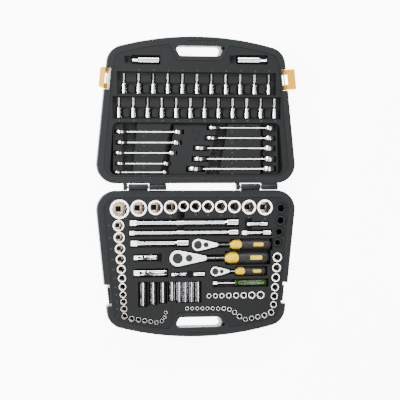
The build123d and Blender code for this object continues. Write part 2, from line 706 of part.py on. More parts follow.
SPARK_LEFT = (-148.0, -134.5, -135.5, -87.0, 288.0, 8.4)
SPARK_RIGHT = (145.0, 163.0, 95.0, 147.0, 291.0, 8.8)


# ---------------------------------------------------------------- the trays
def cups(pockets, grow):
    """The outer sides of a list of pockets, each from its own floor to the tray's top."""
    return [prism(shape(grow), floor - TRAY_SKIN, TRAY_TOP) for shape, floor in pockets]


def hollows(pockets):
    """What is scooped out of the tray for each pocket."""
    return [prism(shape(0.0), floor, TRAY_TOP + 1) for shape, floor in pockets]


def wells(places, widths):
    """Round wells for a row of sockets, joined by a channel."""
    def shape(grow):
        spots = [
            Pos(x, y) * Circle(wide / 2 + POCKET_SLACK + grow)
            for (x, y), wide in zip(places, widths)
        ]
        return spots[0] + spots[1:] if len(spots) > 1 else spots[0]
    return shape


def channel(places, width):
    """A shallow channel from each place to the next."""
    def shape(grow):
        runs = []
        for (x0, y0), (x1, y1) in zip(places, places[1:]):
            turn = degrees(atan2(y1 - y0, x1 - x0))
            middle = Pos((x0 + x1) / 2, (y0 + y1) / 2) * Rot(0, 0, turn)
            runs.append(middle * Rectangle(hypot(x1 - x0, y1 - y0), width + 2 * grow))
        return runs[0] + runs[1:] if len(runs) > 1 else runs[0]
    return shape


def rect_pocket(x0, x1, y0, y1):
    """A pocket with square sides."""
    return lambda grow: area(x0, x1, y0, y1, grow)


def ratchet_pocket(r):
    """The roomy pocket round a ratchet."""
    def shape(grow):
        head = head_outline(r, 2.4 + grow)
        shank = area(r.lever_x, r.grip_end + 2, r.y - r.neck_r - 2, r.y + r.neck_r + 2, grow)
        grip = area(r.collar[0] - 2, r.grip_end + 2.4, r.y - r.grip_r - 1.4,
                    r.y + r.grip_r + 1.4, grow)
        return head + shank + grip
    return shape


def base_pockets():
    """Every pocket of the base tray, with the height of its floor."""
    pockets = []
    places = [place for place, wide in half_inch_places()]
    widths = [wide for place, wide in half_inch_places()]
    pockets.append((wells(places, widths), SOCKET_TOP - HALF_INCH_TALL))
    places = [place for place, wide in black_places()]
    widths = [wide for place, wide in black_places()]
    pockets.append((wells(places, widths), SOCKET_TOP - HALF_INCH_TALL))
    rows = (
        (LEFT_PATH, LEFT_COLUMN, COLUMN_GAP, THREE_EIGHTHS_TALL, 9.0),
        (BEND_LEFT_PATH, BEND_LEFT, 1.7, QUARTER_TALL, 5.0),
        (RIGHT_PATH, RIGHT_COLUMN, 2.1, THREE_EIGHTHS_TALL, 9.0),
        (BEND_RIGHT_PATH, BEND_RIGHT, 1.9, QUARTER_TALL, 5.0),
        (MIDDLE_PATH, MIDDLE_ROW, 2.6, QUARTER_TALL, 5.0),
    )
    for path, widths, gap, tall, wide in rows:
        places = along(path, widths, gap)
        pockets.append((wells(places, widths), SOCKET_TOP - tall))
        pockets.append((channel(places, wide), SOCKET_TOP - 7))
    for name, left, right, y, radius, socket_r, length, drive in BARS:
        floor = TOOL_TOP - 2 * socket_r - LIFT
        pockets.append((rect_pocket(left - 2, right + 2, y - socket_r - 0.8, y + socket_r + 0.8), floor))
    for name, left, middle, right, y, radius, drive in JOINTS:
        floor = TOOL_TOP - 2 * radius - LIFT
        pockets.append((rect_pocket(left - 2.4, right + 2.4, y - radius - 1.2, y + radius + 1.2), floor))
    pockets.append((rect_pocket(-9.0, 19.7, -206.2, -193.4), TOOL_TOP - 11 - LIFT))
    for r in RATCHETS:
        pockets.append((ratchet_pocket(r), r.z - r.grip_r - LIFT))
        pockets.append((disc_well(r), r.head_low - r.drive * 0.95 - LIFT))
    tip, start, end, y, radius = SPINNER
    floor = TOOL_TOP - 2 * radius - LIFT
    around = rect_pocket(tip - 2.5, end + 2.5, y - radius - 1.0, y + radius + 1.0)
    pockets.append((around, floor))
    for x, wide, length in deep_places():
        floor = TOOL_TOP - 1.0 - wide - LIFT
        low = DEEP_TOP_Y - length - 1.2
        half = wide / 2 + 1.3
        pockets.append((rect_pocket(x - half, x + half, low, DEEP_TOP_Y + 1.2), floor))
    # finger slots across the bars and beside the smaller tools
    pockets.append((rect_pocket(-46.0, -29.0, -113.0, -57.0), 27.0))
    pockets.append((rect_pocket(112.0, 128.0, -97.5, -72.0), 34.0))
    pockets.append((rect_pocket(-90.5, -82.0, -170.5, -151.0), 38.0))
    pockets.append((rect_pocket(-22.5, -10.5, -207.0, -192.0), 38.0))
    return pockets


def disc_well(r):
    """The deeper well that a ratchet's drive square stands in."""
    return lambda grow: Pos(r.x, r.y) * Circle(r.disc_r + 1.0 + grow)


def base_tray():
    """The moulded tray of the base, drawn on the base's side."""
    pockets = base_pockets()
    tray = mirrored(prism(tray_outline(), TRAY_TOP - TRAY_SKIN, TRAY_TOP))
    tray += cups(pockets, TRAY_SKIN)
    tray -= hollows(pockets)
    # a raised line round the plain panel
    tray -= block(-57.4, -56.2, -300, -272.5, TRAY_TOP - 0.7, TRAY_TOP + 1)
    tray -= block(-136.0, -57.4, -273.7, -272.5, TRAY_TOP - 0.7, TRAY_TOP + 1)
    return tray


WELL_FLOOR = 24.0
BIT_FLOOR = TOOL_TOP - 12.8 - LIFT


def plateau(shape, top, floor=WELL_FLOOR):
    """A raised block in a well, hollow from below."""
    return prism(shape, floor - TRAY_SKIN, top) - prism(offset(shape, -2.0), floor - 3, top - 2.0)


def wrench_slot(size, y, jaw_x, ring_x):
    """The cut that a wrench's shank, jaw and ring need."""
    ring_r = size * 0.74 + 1.4
    jaw_r = size * 1.02 + 1.0
    axis = WRENCH_TOP - jaw_r
    thick = size * 0.15 + 1.3
    head = size * 0.27 + 1.9
    ends = block(jaw_x - 1.5, jaw_x + 2 * jaw_r + 2, y - head, y + head,
                 axis - jaw_r - 0.6, TRAY_TOP + 1)
    ends += block(ring_x - 2 * ring_r - 2, ring_x + 1.5, y - head, y + head,
                  axis - ring_r - 0.6, TRAY_TOP + 1)
    shank = block(jaw_x, ring_x, y - thick / 2 - 0.8, y + thick / 2 + 0.8,
                  axis - size * 0.36 - 1.8, TRAY_TOP + 1)
    return ends + shank


def wrench_well(grow):
    """The large well that the wrenches stand in, rounded at its four corners."""
    low, high = 28.0 - grow, 146.0 + grow
    wide = patch((-201 - grow, low), (201 + grow, low), (193 + grow, high), (-193 - grow, high))
    return fillet(wide.vertices(), 14.0 + grow)


def lid_tray():
    """The moulded tray of the lid."""
    # two wells for the bit sockets, the large well for the wrenches, two spark plug pockets
    pockets = [
        (rect_pocket(-184.0, 184.0, 210.0, 261.0), BIT_FLOOR),
        (rect_pocket(-194.0, 195.5, 155.0, 205.5), BIT_FLOOR),
        (rect_pocket(-150.5, -84.5, 277.5, 298.5), TOOL_TOP - 18.5),
        (rect_pocket(-166.0, -150.5, 280.0, 296.0), 38.0),
        (rect_pocket(92.5, 165.0, 280.5, 301.5), TOOL_TOP - 19.5),
        (rect_pocket(76.0, 92.5, 283.0, 300.0), 38.0),
        (wrench_well, WELL_FLOOR),
    ]
    tray = prism(tray_outline(), TRAY_TOP - TRAY_SKIN, TRAY_TOP)
    tray += cups(pockets, TRAY_SKIN)
    tray -= hollows(pockets)
    tray += wrench_plateaus()
    for size, y, jaw_x, ring_x in LEFT_WRENCHES + RIGHT_WRENCHES:
        tray -= wrench_slot(size, y, jaw_x, ring_x)
    tray += bit_rests()
    return tray


def wrench_plateaus():
    """The raised blocks that the wrenches' shanks lie across."""
    left = patch((-137, 144), (-60, 144), (-86, 29), (-148, 29))
    centre = patch((-52, 141), (49, 141), (22, 29), (-66, 29))
    right = patch((73, 144), (148, 144), (148, 29), (52, 29))
    far_right = area(157, 192, 30, 143)
    far_left = area(-192, -170, 30, 143)
    return [
        plateau(left, 45.0),
        plateau(centre, 42.0),
        plateau(right, 45.0),
        plateau(far_right, 34.0),
        plateau(far_left, 40.0),
        prism(Pos(-4, 119) * Rot(0, 0, -18) * (Rectangle(15, 21) - Rectangle(12, 18)), 41.0, 43.0),
    ]


def bit_rests():
    """The pads and ledges between the bit sockets of both rows."""
    rests = []
    for row, (first, pitch, count, y) in enumerate(BIT_ROWS):
        for n in range(count - 1):
            x = first + pitch * (n + 0.5)
            pad = area(x - 6.6, x + 6.6, y + 1.5, y + 19.5)
            pad = fillet(pad.vertices(), 4.5)
            rests.append(prism(pad, BIT_FLOOR - 1, 44.5))
            ledge = area(x - 11.5, x + 11.5, y + 25.0, y + 45.5)
            rests.append(prism(ledge, BIT_FLOOR - 1, 41.0))
    return rests


# ---------------------------------------------------------------- write every node
def main():
    os.makedirs("parts", exist_ok=True)
    write("base_shell", mirrored(half_shell(False)))
    write("lid_shell", half_shell(True))
    write("base_tray", base_tray())
    write("lid_tray", lid_tray())
    length = sum(KNUCKLES) + 2 * KNUCKLE_GAP
    write("hinge_pins", *[rod(x, x + length, 0, HALF_HEIGHT, PIN_R) for x in HINGES])
    write("latch_right", latch(1, LATCH_OPEN_RIGHT))
    write("latch_left", latch(-1, LATCH_OPEN_LEFT))
    write("latch_pins", latch_pin(-1), latch_pin(1))

    write("half_inch_sockets", *half_inch_sockets())
    blacks = [
        socket(x, y, wide, HALF_INCH_TALL, size, 12.8 if size > 13 else 9.6, 6)
        for ((x, y), wide), size in zip(black_places(), BLACK)
    ]
    write("black_sockets", *blacks)
    write("three_eighths_sockets", *column(LEFT_PATH, LEFT_COLUMN, COLUMN_GAP, THREE_EIGHTHS_TALL, 9.6))
    write("right_column_sockets", *column(RIGHT_PATH, RIGHT_COLUMN, 2.1, THREE_EIGHTHS_TALL, 9.6))
    write("quarter_inch_sockets_left", *column(BEND_LEFT_PATH, BEND_LEFT, 1.7, QUARTER_TALL, 6.4))
    write("quarter_inch_sockets_right", *column(BEND_RIGHT_PATH, BEND_RIGHT, 1.9, QUARTER_TALL, 6.4))
    write("middle_row_sockets", *column(MIDDLE_PATH, MIDDLE_ROW, 2.6, QUARTER_TALL, 6.4))
    write("deep_sockets", *[deep_socket(*row) for row in deep_places()])

    for name, *sizes in BARS:
        write(name, extension_bar(*sizes))
    for name, *sizes in JOINTS:
        yoke, cross, end = universal_joint(*sizes)
        write(name + "_drive_yoke", yoke)
        write(name + "_cross", cross)
        write(name + "_socket_yoke", end)
    write("adapter", adapter())

    for r in RATCHETS:
        write(r.name + "_body", ratchet_body(r))
        write(r.name + "_drive", ratchet_drive(r))
        write(r.name + "_button", ratchet_button(r))
        write(r.name + "_lever", ratchet_lever(r))
        write(r.name + "_grip", ratchet_grip(r))
        write(r.name + "_collar", ratchet_collar(r), ratchet_label(r))
    write("spinner_shaft", spinner_shaft())
    write("spinner_handle", spinner_handle())

    for row, name in enumerate(("upper", "lower")):
        places = bit_places(row)
        write(f"bit_sockets_{name}", *[bit_body(x, y) for x, y in places])
        write(f"bits_{name}", *[bit(x, y, n) for n, (x, y) in enumerate(places)])
    write("wrenches_left", *[wrench(*row) for row in LEFT_WRENCHES])
    write("wrenches_right", *[wrench(*row) for row in RIGHT_WRENCHES])
    write("spark_plug_socket_left", spark_plug_socket(*SPARK_LEFT))
    write("spark_plug_socket_right", spark_plug_socket(*SPARK_RIGHT))


main()
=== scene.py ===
"""The looks of a socket wrench set lying open in its moulded case.

Laid out as an add-on: settings a user would change, one operator for each piece or group
of like pieces, one for the studio, and a panel that lists them. Lengths are in metres in
the part's own frame: +X right along the hinge line, +Y towards the open lid, +Z up.
"""
import json
import math

import bpy
from bpy.props import FloatProperty, FloatVectorProperty, PointerProperty, StringProperty
from mathutils import Matrix, Vector


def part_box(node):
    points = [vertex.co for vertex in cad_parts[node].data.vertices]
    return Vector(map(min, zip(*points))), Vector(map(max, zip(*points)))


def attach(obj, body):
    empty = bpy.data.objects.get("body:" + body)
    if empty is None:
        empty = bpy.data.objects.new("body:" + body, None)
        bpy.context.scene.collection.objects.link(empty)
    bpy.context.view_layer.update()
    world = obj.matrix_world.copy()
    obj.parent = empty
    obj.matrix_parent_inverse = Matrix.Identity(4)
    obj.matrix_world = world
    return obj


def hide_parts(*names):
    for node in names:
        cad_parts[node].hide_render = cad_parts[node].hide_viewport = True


bl_info = {
    "name": "Socket Wrench Set in Case",
    "version": (1, 0, 0),
    "blender": (4, 5, 0),
    "location": "3D View > Sidebar > Tool Case",
    "description": "Finishes and details a socket wrench set in its moulded case",
    "category": "Object",
}

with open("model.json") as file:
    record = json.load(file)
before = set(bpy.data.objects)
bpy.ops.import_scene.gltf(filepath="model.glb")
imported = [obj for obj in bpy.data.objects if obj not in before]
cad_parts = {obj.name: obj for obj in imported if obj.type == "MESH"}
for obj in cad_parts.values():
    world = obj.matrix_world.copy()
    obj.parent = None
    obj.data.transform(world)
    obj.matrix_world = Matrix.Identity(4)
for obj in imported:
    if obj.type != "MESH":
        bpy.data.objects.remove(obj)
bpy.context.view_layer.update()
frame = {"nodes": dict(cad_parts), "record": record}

MM = 0.001
RATCHETS = ("ratchet_three_eighths", "ratchet_half_inch", "ratchet_quarter")
UNIVERSAL_JOINTS = (
    "universal_joint_three_eighths",
    "universal_joint_half_inch",
    "universal_joint_quarter",
)
BARS = (
    "bar_half_inch_long",
    "bar_three_eighths_long",
    "bar_half_inch_short",
    "bar_quarter_short",
    "bar_three_eighths_short",
)
UPRIGHT_SOCKETS = (
    "half_inch_sockets",
    "three_eighths_sockets",
    "right_column_sockets",
    "quarter_inch_sockets_left",
    "quarter_inch_sockets_right",
    "middle_row_sockets",
)
THREE_EIGHTHS_SIZES = ("19", "18", "17", "16", "15", "14", "13", "12", "11", "10", "9")
LEFT_WRENCH_SIZES = ("13", "12", "11", "10", "8")
RIGHT_WRENCH_SIZES = ("14", "15", "16", "17", "19")
UPPER_BIT_SIZES = ("1", "2", "3", "4", "5", "6", "7", "8", "9", "10", "12")
LOWER_BIT_SIZES = ("8", "10", "15", "20", "25", "27", "30", "40", "45", "50", "55", "60")

NUMERAL_HEIGHT = 0.35 * MM        # how far the embossed numbers stand up
NUMERAL_SUNK = 0.05 * MM          # how far their feet go into the tray
FORM_INSET = 0.05 * MM            # how far a finer form stays inside its CAD solid
COLLAR_LENGTH_PER_RADIUS = 2.12   # each collar's and label's length, by its grip's radius
LABEL_LENGTH_PER_RADIUS = 1.9
WAVE_TURN = 6.2832                # a wave texture's scale counts in radians
PROBE_HEIGHT = 0.2                # from where the trays' surfaces are felt for

# lathe profiles: share of the length, share of the radius
GRIP_PROFILE = (
    (0.0, 0.84), (0.04, 0.88), (0.16, 0.905), (0.3, 0.95), (0.5, 0.99), (0.66, 1.0),
    (0.8, 0.965), (0.9, 0.93), (0.955, 0.87), (0.985, 0.72), (1.0, 0.5),
)
COLLAR_PROFILE = (
    (0.0, 0.42), (0.01, 0.5), (0.06, 0.62), (0.16, 0.78), (0.26, 0.87), (0.36, 0.915),
    (0.7, 0.925), (0.94, 0.93), (0.985, 0.915), (1.0, 0.86), (1.0, 0.7),
)
HANDLE_PROFILE = (
    (0.0, 0.8), (0.008, 0.93), (0.03, 1.0), (0.055, 0.97), (0.07, 0.76), (0.12, 0.7),
    (0.18, 0.74), (0.24, 0.9), (0.29, 0.98), (0.34, 1.0), (0.86, 1.0), (0.93, 0.97),
    (0.975, 0.84), (0.995, 0.6), (1.0, 0.3),
)
# the label pad from its foot to its sunk face: share of its length, share of the radius
LABEL_ROWS = ((1.0, 0.93), (1.0, 1.0), (0.94, 1.022), (0.86, 1.022), (0.84, 1.008))
LABEL_CORNER_POWER = 0.28         # how square the pad's corners are

# name, place, width, depth, watts before the brightness setting
SOFT_BOXES = (
    ("overhead_softbox", (0.55, -0.05, 3.0), 1.0, 1.4, 22.0),
    ("left_softbox", (-1.8, 0.5, 1.7), 1.2, 1.2, 90.0),
    ("lid_end_strip", (0.2, 2.1, 1.5), 1.6, 0.7, 50.0),
    ("base_end_strip", (0.1, -2.1, 1.6), 1.6, 0.6, 26.0),
)
ROOM_HEX = "#F2E4D4"
ROOM_STRENGTH = 0.1
FLOOR_REACH = 6.0


# ---------------------------------------------------------------- colour and nodes
def linear(hex_colour):
    """An sRGB hex colour as linear red, green, blue and alpha."""
    channels = [int(hex_colour[i:i + 2], 16) / 255 for i in (1, 3, 5)]
    curve = [c / 12.92 if c <= 0.04045 else ((c + 0.055) / 1.055) ** 2.4 for c in channels]
    return (*curve, 1.0)


def add_node(tree, kind, inputs=None, stops=(), **settings):
    """Adds a node with its settings, its ramp stops, and its inputs as values or links."""
    node = tree.nodes.new(kind)
    for key, value in settings.items():
        setattr(node, key, value)
    for n, (position, colour) in enumerate(stops):
        points = node.color_ramp.elements
        point = points[n] if n < len(points) else points.new(position)
        point.position = position
        point.color = colour
    for key, value in (inputs or {}).items():
        if isinstance(value, bpy.types.NodeSocket):
            tree.links.new(value, node.inputs[key])
        else:
            node.inputs[key].default_value = value
    return node


def new_material(name):
    """An empty node material, its tree, its shader and a place in the object's own space."""
    material = bpy.data.materials.new(name)
    material.use_nodes = True
    tree = material.node_tree
    tree.nodes.clear()
    shader = add_node(tree, "ShaderNodeBsdfPrincipled")
    add_node(tree, "ShaderNodeOutputMaterial", {"Surface": shader.outputs[0]})
    place = add_node(tree, "ShaderNodeTexCoord").outputs["Object"]
    return material, tree, shader, place


def per_metre(size_mm):
    """A texture's scale for a pattern that repeats every size_mm."""
    return 1.0 / (size_mm * MM)


def shade(hex_colour, factor):
    """The linear colour, made lighter or darker by a factor."""
    r, g, b, a = linear(hex_colour)
    return (min(r * factor, 1), min(g * factor, 1), min(b * factor, 1), a)


# ---------------------------------------------------------------- materials
def moulded_polypropylene(name, hex_colour, grain_mm, roughness):
    """Blow-moulded polypropylene, pressed against a spark-eroded mould.

    The eye gets a dull, even charcoal with a fine pebbled grain, faint flow marks and
    handling scuffs that catch the light. The grain is drawn coarser than the real
    0.4 mm so that it shows.
    """
    material, tree, shader, place = new_material(name)
    grain = add_node(tree, "ShaderNodeTexNoise",
                     {"Vector": place, "Scale": per_metre(grain_mm), "Detail": 3.0,
                      "Roughness": 0.6})
    pebbles = add_node(tree, "ShaderNodeTexVoronoi",
                       {"Vector": place, "Scale": per_metre(grain_mm * 1.4)})
    flow = add_node(tree, "ShaderNodeTexNoise",
                    {"Vector": place, "Scale": per_metre(90), "Detail": 4.0, "Roughness": 0.55})
    scuffs = add_node(tree, "ShaderNodeTexNoise",
                      {"Vector": place, "Scale": per_metre(7), "Detail": 8.0, "Distortion": 1.2})
    tint = add_node(tree, "ShaderNodeValToRGB", {"Fac": flow.outputs[0]},
                    stops=((0.35, shade(hex_colour, 0.88)), (0.68, shade(hex_colour, 1.12))))
    worn = add_node(tree, "ShaderNodeValToRGB", {"Fac": scuffs.outputs[0]},
                    stops=((0.56, (0, 0, 0, 1)), (0.78, (1, 1, 1, 1))))
    scuffed = add_node(tree, "ShaderNodeMath", {0: worn.outputs[0], 1: 0.22}, operation="MULTIPLY")
    colour = add_node(tree, "ShaderNodeMix",
                      {"Factor": scuffed.outputs[0], "A": tint.outputs[0],
                       "B": shade(hex_colour, 1.9)},
                      data_type="RGBA")
    gloss = add_node(tree, "ShaderNodeMapRange",
                     {"Value": scuffs.outputs[0], "From Min": 0.3, "From Max": 0.75,
                      "To Min": roughness - 0.06, "To Max": roughness + 0.1})
    fine = add_node(tree, "ShaderNodeBump",
                    {"Height": grain.outputs[0], "Strength": 0.22, "Distance": 0.25 * MM})
    coarse = add_node(tree, "ShaderNodeBump",
                      {"Height": pebbles.outputs["Distance"], "Normal": fine.outputs[0],
                       "Strength": 0.16, "Distance": 0.3 * MM})
    for socket, value in (("Base Color", colour.outputs["Result"]), ("Roughness", gloss.outputs[0]),
                          ("Normal", coarse.outputs[0])):
        tree.links.new(value, shader.inputs[socket])
    shader.inputs["IOR"].default_value = 1.49
    shader.inputs["Specular IOR Level"].default_value = 0.36
    return material


def chrome_plated_steel(name, hex_colour, roughness):
    """Chrome-vanadium steel, polished and chrome plated.

    The eye gets a bright mirror, broken by faint polishing lines, finger smudges and
    tiny pits where the plating follows the forging.
    """
    material, tree, shader, place = new_material(name)
    smudge = add_node(tree, "ShaderNodeTexNoise",
                      {"Vector": place, "Scale": per_metre(9), "Detail": 5.0, "Roughness": 0.6})
    stretch = add_node(tree, "ShaderNodeMapping", {"Vector": place, "Scale": (0.05, 1.0, 1.0)})
    lines = add_node(tree, "ShaderNodeTexNoise",
                     {"Vector": stretch.outputs[0], "Scale": per_metre(0.9), "Detail": 2.0})
    forged = add_node(tree, "ShaderNodeTexNoise",
                      {"Vector": place, "Scale": per_metre(6), "Detail": 2.0})
    tint = add_node(tree, "ShaderNodeValToRGB", {"Fac": smudge.outputs[0]},
                    stops=((0.3, shade(hex_colour, 0.94)), (0.7, shade(hex_colour, 1.04))))
    gloss = add_node(tree, "ShaderNodeMapRange",
                     {"Value": smudge.outputs[0], "From Min": 0.35, "From Max": 0.75,
                      "To Min": roughness, "To Max": roughness + 0.12})
    wave = add_node(tree, "ShaderNodeBump",
                    {"Height": forged.outputs[0], "Strength": 0.1, "Distance": 0.3 * MM})
    brush = add_node(tree, "ShaderNodeBump",
                     {"Height": lines.outputs[0], "Normal": wave.outputs[0],
                      "Strength": 0.035, "Distance": 0.1 * MM})
    shader.inputs["Metallic"].default_value = 1.0
    for socket, value in (("Base Color", tint.outputs[0]), ("Roughness", gloss.outputs[0]),
                          ("Normal", brush.outputs[0])):
        tree.links.new(value, shader.inputs[socket])
    return material


def socket_steel_painted_bore_shade(name, hex_colour, roughness, painted_shade_hex, bore_shade_top_mm):
    """Chrome-plated sockets, with painted shade in the bore below the rim.

    The eye gets a bright rim, and below it painted shade: a dull brown-grey with streaky tone,
    standing in for the dark deep in the bore.
    """
    material = chrome_plated_steel(name, hex_colour, roughness)
    tree = material.node_tree
    shader = next(node for node in tree.nodes if node.type == "BSDF_PRINCIPLED")
    place = next(node for node in tree.nodes if node.type == "TEX_COORD").outputs["Object"]
    height = add_node(tree, "ShaderNodeSeparateXYZ", {"Vector": place})
    oil = add_node(tree, "ShaderNodeTexNoise",
                   {"Vector": place, "Scale": per_metre(5), "Detail": 4.0, "Distortion": 1.0})
    # painted shade: below the given height the bore turns dark brown-grey, in place of the shade
    # deep in the bore
    bore_shade_mask = add_node(tree, "ShaderNodeMapRange",
                    {"Value": height.outputs["Z"], "From Min": bore_shade_top_mm * MM,
                     "From Max": (bore_shade_top_mm - 2.5) * MM})
    # the painted shade's colour, varied by streaky noise
    painted_shade = add_node(tree, "ShaderNodeValToRGB", {"Fac": oil.outputs[0]},
                    stops=((0.36, shade(painted_shade_hex, 0.45)), (0.64, shade(painted_shade_hex, 1.5))))
    plated = shader.inputs["Base Color"].links[0].from_socket
    colour = add_node(tree, "ShaderNodeMix",
                      {"Factor": bore_shade_mask.outputs[0], "A": plated, "B": painted_shade.outputs[0]},
                      data_type="RGBA")
    tree.links.new(colour.outputs["Result"], shader.inputs["Base Color"])
    return material


def phosphated_steel(name, hex_colour):
    """Steel with a black phosphate finish, oiled.

    The eye gets a soft, slightly speckled black with a low sheen and greyer high spots.
    """
    material, tree, shader, place = new_material(name)
    speck = add_node(tree, "ShaderNodeTexNoise",
                     {"Vector": place, "Scale": per_metre(1.1), "Detail": 4.0, "Roughness": 0.7})
    patches = add_node(tree, "ShaderNodeTexNoise",
                       {"Vector": place, "Scale": per_metre(12), "Detail": 3.0})
    tint = add_node(tree, "ShaderNodeValToRGB", {"Fac": speck.outputs[0]},
                    stops=((0.35, shade(hex_colour, 0.75)), (0.75, shade(hex_colour, 1.8))))
    gloss = add_node(tree, "ShaderNodeMapRange",
                     {"Value": patches.outputs[0], "From Min": 0.3, "From Max": 0.7,
                      "To Min": 0.34, "To Max": 0.5})
    rough = add_node(tree, "ShaderNodeBump",
                     {"Height": speck.outputs[0], "Strength": 0.2, "Distance": 0.15 * MM})
    shader.inputs["Metallic"].default_value = 0.55
    for socket, value in (("Base Color", tint.outputs[0]), ("Roughness", gloss.outputs[0]),
                          ("Normal", rough.outputs[0])):
        tree.links.new(value, shader.inputs[socket])
    return material


def turned_tool_steel(name, hex_colour):
    """Turned and tumbled tool steel.

    The eye gets a grey satin metal with fine rings round its axis and darker tips.
    """
    material, tree, shader, place = new_material(name)
    stretch = add_node(tree, "ShaderNodeMapping", {"Vector": place, "Scale": (0.08, 1.0, 0.08)})
    rings = add_node(tree, "ShaderNodeTexNoise",
                     {"Vector": stretch.outputs[0], "Scale": per_metre(0.7), "Detail": 3.0})
    patches = add_node(tree, "ShaderNodeTexNoise",
                       {"Vector": place, "Scale": per_metre(6), "Detail": 4.0})
    tint = add_node(tree, "ShaderNodeValToRGB", {"Fac": patches.outputs[0]},
                    stops=((0.35, shade(hex_colour, 0.7)), (0.7, shade(hex_colour, 1.15))))
    gloss = add_node(tree, "ShaderNodeMapRange",
                     {"Value": rings.outputs[0], "From Min": 0.3, "From Max": 0.7,
                      "To Min": 0.2, "To Max": 0.38})
    turned = add_node(tree, "ShaderNodeBump",
                      {"Height": rings.outputs[0], "Strength": 0.18, "Distance": 0.1 * MM})
    shader.inputs["Metallic"].default_value = 1.0
    for socket, value in (("Base Color", tint.outputs[0]), ("Roughness", gloss.outputs[0]),
                          ("Normal", turned.outputs[0])):
        tree.links.new(value, shader.inputs[socket])
    return material


def moulded_abs(name, hex_colour, roughness):
    """Injection-moulded ABS, coloured right through.

    The eye gets a clean, slightly waxy colour with soft gloss, a fine spark grain, and
    paler stress marks.
    """
    material, tree, shader, place = new_material(name)
    grain = add_node(tree, "ShaderNodeTexNoise",
                     {"Vector": place, "Scale": per_metre(0.8), "Detail": 3.0})
    cloud = add_node(tree, "ShaderNodeTexNoise",
                     {"Vector": place, "Scale": per_metre(14), "Detail": 4.0})
    tint = add_node(tree, "ShaderNodeValToRGB", {"Fac": cloud.outputs[0]},
                    stops=((0.32, shade(hex_colour, 0.9)), (0.7, shade(hex_colour, 1.06))))
    gloss = add_node(tree, "ShaderNodeMapRange",
                     {"Value": cloud.outputs[0], "From Min": 0.3, "From Max": 0.7,
                      "To Min": roughness - 0.05, "To Max": roughness + 0.08})
    fine = add_node(tree, "ShaderNodeBump",
                    {"Height": grain.outputs[0], "Strength": 0.12, "Distance": 0.15 * MM})
    for socket, value in (("Base Color", tint.outputs[0]), ("Roughness", gloss.outputs[0]),
                          ("Normal", fine.outputs[0])):
        tree.links.new(value, shader.inputs[socket])
    shader.inputs["IOR"].default_value = 1.54
    shader.inputs["Specular IOR Level"].default_value = 0.16
    return material


def moulded_rubber(name, hex_colour):
    """Thermoplastic rubber, moulded over the grip.

    The eye gets a deep matt black that hardly reflects, with a fine cross-hatched grip
    texture and a dusty sheen.
    """
    material, tree, shader, place = new_material(name)
    turn = add_node(tree, "ShaderNodeMapping",
                    {"Vector": place, "Rotation": (0, 0, math.radians(45))})
    hatch = []
    for direction in ("X", "Y"):
        wave = add_node(tree, "ShaderNodeTexWave",
                        {"Vector": turn.outputs[0], "Scale": per_metre(1.6) / WAVE_TURN,
                         "Distortion": 0.0},
                        bands_direction=direction)
        hatch.append(wave.outputs["Fac"])
    crossed = add_node(tree, "ShaderNodeMath", {0: hatch[0], 1: hatch[1]}, operation="MULTIPLY")
    dust = add_node(tree, "ShaderNodeTexNoise",
                    {"Vector": place, "Scale": per_metre(5), "Detail": 6.0})
    tint = add_node(tree, "ShaderNodeValToRGB", {"Fac": dust.outputs[0]},
                    stops=((0.35, shade(hex_colour, 0.8)), (0.75, shade(hex_colour, 1.7))))
    gloss = add_node(tree, "ShaderNodeMapRange",
                     {"Value": dust.outputs[0], "From Min": 0.3, "From Max": 0.7,
                      "To Min": 0.5, "To Max": 0.68})
    texture = add_node(tree, "ShaderNodeBump",
                       {"Height": crossed.outputs[0], "Strength": 0.35, "Distance": 0.3 * MM})
    for socket, value in (("Base Color", tint.outputs[0]), ("Roughness", gloss.outputs[0]),
                          ("Normal", texture.outputs[0])):
        tree.links.new(value, shader.inputs[socket])
    shader.inputs["Sheen Weight"].default_value = 0.1
    shader.inputs["IOR"].default_value = 1.5
    return material


def cast_acetate(name, hex_colour):
    """Cellulose acetate, cast clear and tumbled to a gloss.

    The eye gets a deep green that light passes through, with cloudy streaks along the
    handle and bright edges.
    """
    material, tree, shader, place = new_material(name)
    stretch = add_node(tree, "ShaderNodeMapping", {"Vector": place, "Scale": (0.15, 1.0, 1.0)})
    streaks = add_node(tree, "ShaderNodeTexNoise",
                       {"Vector": stretch.outputs[0], "Scale": per_metre(5), "Detail": 4.0})
    tint = add_node(tree, "ShaderNodeValToRGB", {"Fac": streaks.outputs[0]},
                    stops=((0.3, shade(hex_colour, 0.6)), (0.72, shade(hex_colour, 1.7))))
    gloss = add_node(tree, "ShaderNodeMapRange",
                     {"Value": streaks.outputs[0], "To Min": 0.06, "To Max": 0.2})
    ripple = add_node(tree, "ShaderNodeBump",
                      {"Height": streaks.outputs[0], "Strength": 0.08, "Distance": 0.4 * MM})
    for socket, value in (("Base Color", tint.outputs[0]), ("Roughness", gloss.outputs[0]),
                          ("Normal", ripple.outputs[0])):
        tree.links.new(value, shader.inputs[socket])
    shader.inputs["IOR"].default_value = 1.48
    shader.inputs["Transmission Weight"].default_value = 0.55
    return material


def lit_acrylic(name, hex_colour, glow):
    """Opal acrylic sheet lit from behind, cast in one piece.

    The eye gets a clean, even white with the faintest cloudiness and no shadow.
    """
    material, tree, shader, place = new_material(name)
    cloud = add_node(tree, "ShaderNodeTexNoise",
                     {"Vector": place, "Scale": per_metre(400), "Detail": 3.0})
    tint = add_node(tree, "ShaderNodeValToRGB", {"Fac": cloud.outputs[0]},
                    stops=((0.3, shade(hex_colour, 0.97)), (0.7, shade(hex_colour, 1.0))))
    for socket in ("Base Color", "Emission Color"):
        tree.links.new(tint.outputs[0], shader.inputs[socket])
    shader.inputs["Emission Strength"].default_value = glow
    shader.inputs["Roughness"].default_value = 0.6
    return material


def wear(node_name, material):
    """Gives a CAD node its material."""
    mesh = frame["nodes"][node_name].data
    mesh.materials.clear()
    mesh.materials.append(material)


